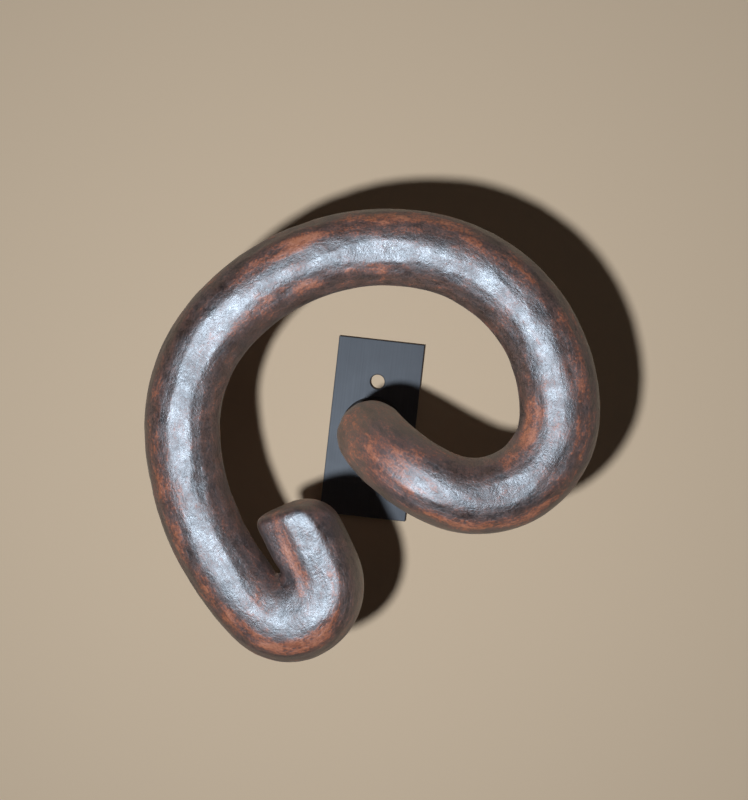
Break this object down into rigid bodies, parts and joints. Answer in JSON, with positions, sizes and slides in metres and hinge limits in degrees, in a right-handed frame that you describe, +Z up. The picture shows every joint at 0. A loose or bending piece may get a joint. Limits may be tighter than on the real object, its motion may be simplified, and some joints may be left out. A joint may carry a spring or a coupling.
{
  "type": "coat hook",
  "caption": "Forged wall coat hook: round bar standing off a flat screw plate, rolled into an open ring and folded back on itself at the tip.",
  "frame": {"origin": "centre of the wall plate's back face, on the wall", "axes": "+Y into the wall, so the hook reaches out along -Y; +Z up the wall along the plate's long side; +X to the right as seen from the front"},
  "size_m": [0.1136, 0.085, 0.1164],
  "materials": {
    "bar_patina": "dark brown lacquer over hammered steel, dry-brushed with rust orange, satin",
    "plate_black": "satin black lacquer",
    "weld_black": "black lacquer over a fillet weld"
  },
  "bodies": {
    "root": {"hook_bar": "bar_patina", "wall_plate": "plate_black", "weld_bead": "weld_black"}
  },
  "joints": []
}
